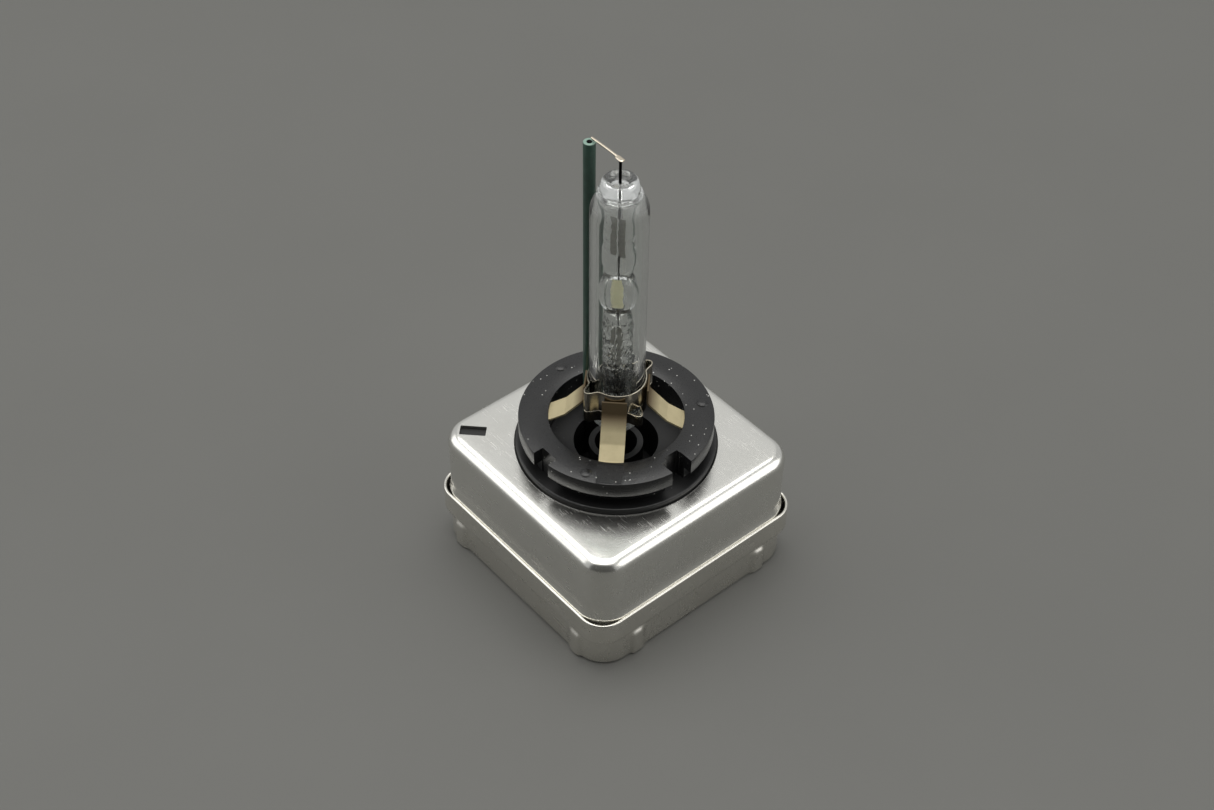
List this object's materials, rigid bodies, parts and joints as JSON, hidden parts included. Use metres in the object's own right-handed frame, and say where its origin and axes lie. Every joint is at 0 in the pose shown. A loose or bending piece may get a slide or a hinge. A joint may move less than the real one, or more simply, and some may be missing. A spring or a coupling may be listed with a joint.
{
  "type": "headlamp bulb",
  "caption": "Gas-discharge headlamp bulb: glass burner on a notched ring cap, over a square metal igniter can with a side plug socket.",
  "frame": {"origin": "on the lamp axis, in the reference plane through the tops of the cap ring's three bosses", "axes": "+Z along the lamp axis, from the can to the burner's tip; +Y out of the plug socket; -X towards the green return tube"},
  "size_m": [0.044, 0.044, 0.0807],
  "materials": {
    "ring_plastic": "glass-filled polymer, charcoal, fine grain",
    "base_plastic": "glass-filled polymer, black",
    "cover_sheet": "deep-drawn, soft brushed sheen",
    "tray_sheet": "deep-drawn, satin",
    "strap_metal": "nickel-plated, satin",
    "spring_steel": "bright rolled",
    "bulb_glass": "clear",
    "quartz": "clear",
    "tungsten": "dark",
    "molybdenum_foil": "thin foil, grey",
    "lead_wire": "oxidised black",
    "halide_salt": "dried salt, pale yellow",
    "green_ceramic": "glazed ceramic, dark green",
    "nickel_wire": "bright nickel",
    "housing_plastic": "polymer, black",
    "potting_gel": "soft sealing gel",
    "board_laminate": "glass-fibre laminate, green mask",
    "connector_plastic": "polymer, dark grey",
    "tinned_pin": "tinned",
    "ferrite": "sintered, dark grey",
    "bobbin_plastic": "polymer, ivory",
    "copper_wire": "enamelled copper",
    "white_ceramic": "alumina, white",
    "gap_metal": "plated steel",
    "capacitor_film": "dipped film, orange-red",
    "resistor_body": "lacquered, blue-grey"
  },
  "bodies": {
    "root": {"cap_ring": "ring_plastic", "socket_base": "base_plastic", "cover_can": "cover_sheet", "tray_can": "tray_sheet", "clamp_band": "spring_steel", "outer_bulb": "bulb_glass", "arc_tube": "quartz", "electrode_lower": "tungsten", "electrode_upper": "tungsten", "foil_lower": "molybdenum_foil", "foil_upper": "molybdenum_foil", "lead_lower": "lead_wire", "lead_upper": "lead_wire", "salt_pool": "halide_salt", "ceramic_tube": "green_ceramic", "return_wire": "lead_wire", "contact_wire": "nickel_wire", "igniter_housing": "housing_plastic", "potting_layer": "potting_gel", "circuit_board": "board_laminate", "connector_shroud": "connector_plastic", "transformer_core": "ferrite", "coil_bobbin": "bobbin_plastic", "primary_winding": "copper_wire", "hv_contact": "gap_metal", "hv_lead": "tinned_pin", "spark_gap_body": "white_ceramic", "spark_gap_caps": "gap_metal", "storage_capacitor": "capacitor_film", "charge_resistor": "resistor_body", "resistor_wires": "tinned_pin", "holder_strap_front": "strap_metal", "holder_strap_right": "strap_metal", "holder_strap_rear": "strap_metal", "holder_strap_left": "strap_metal", "connector_pin_1": "tinned_pin", "connector_pin_2": "tinned_pin", "connector_pin_3": "tinned_pin", "connector_pin_4": "tinned_pin", "secondary_winding_1": "copper_wire", "secondary_winding_2": "copper_wire", "secondary_winding_3": "copper_wire", "secondary_winding_4": "copper_wire"}
  },
  "joints": []
}
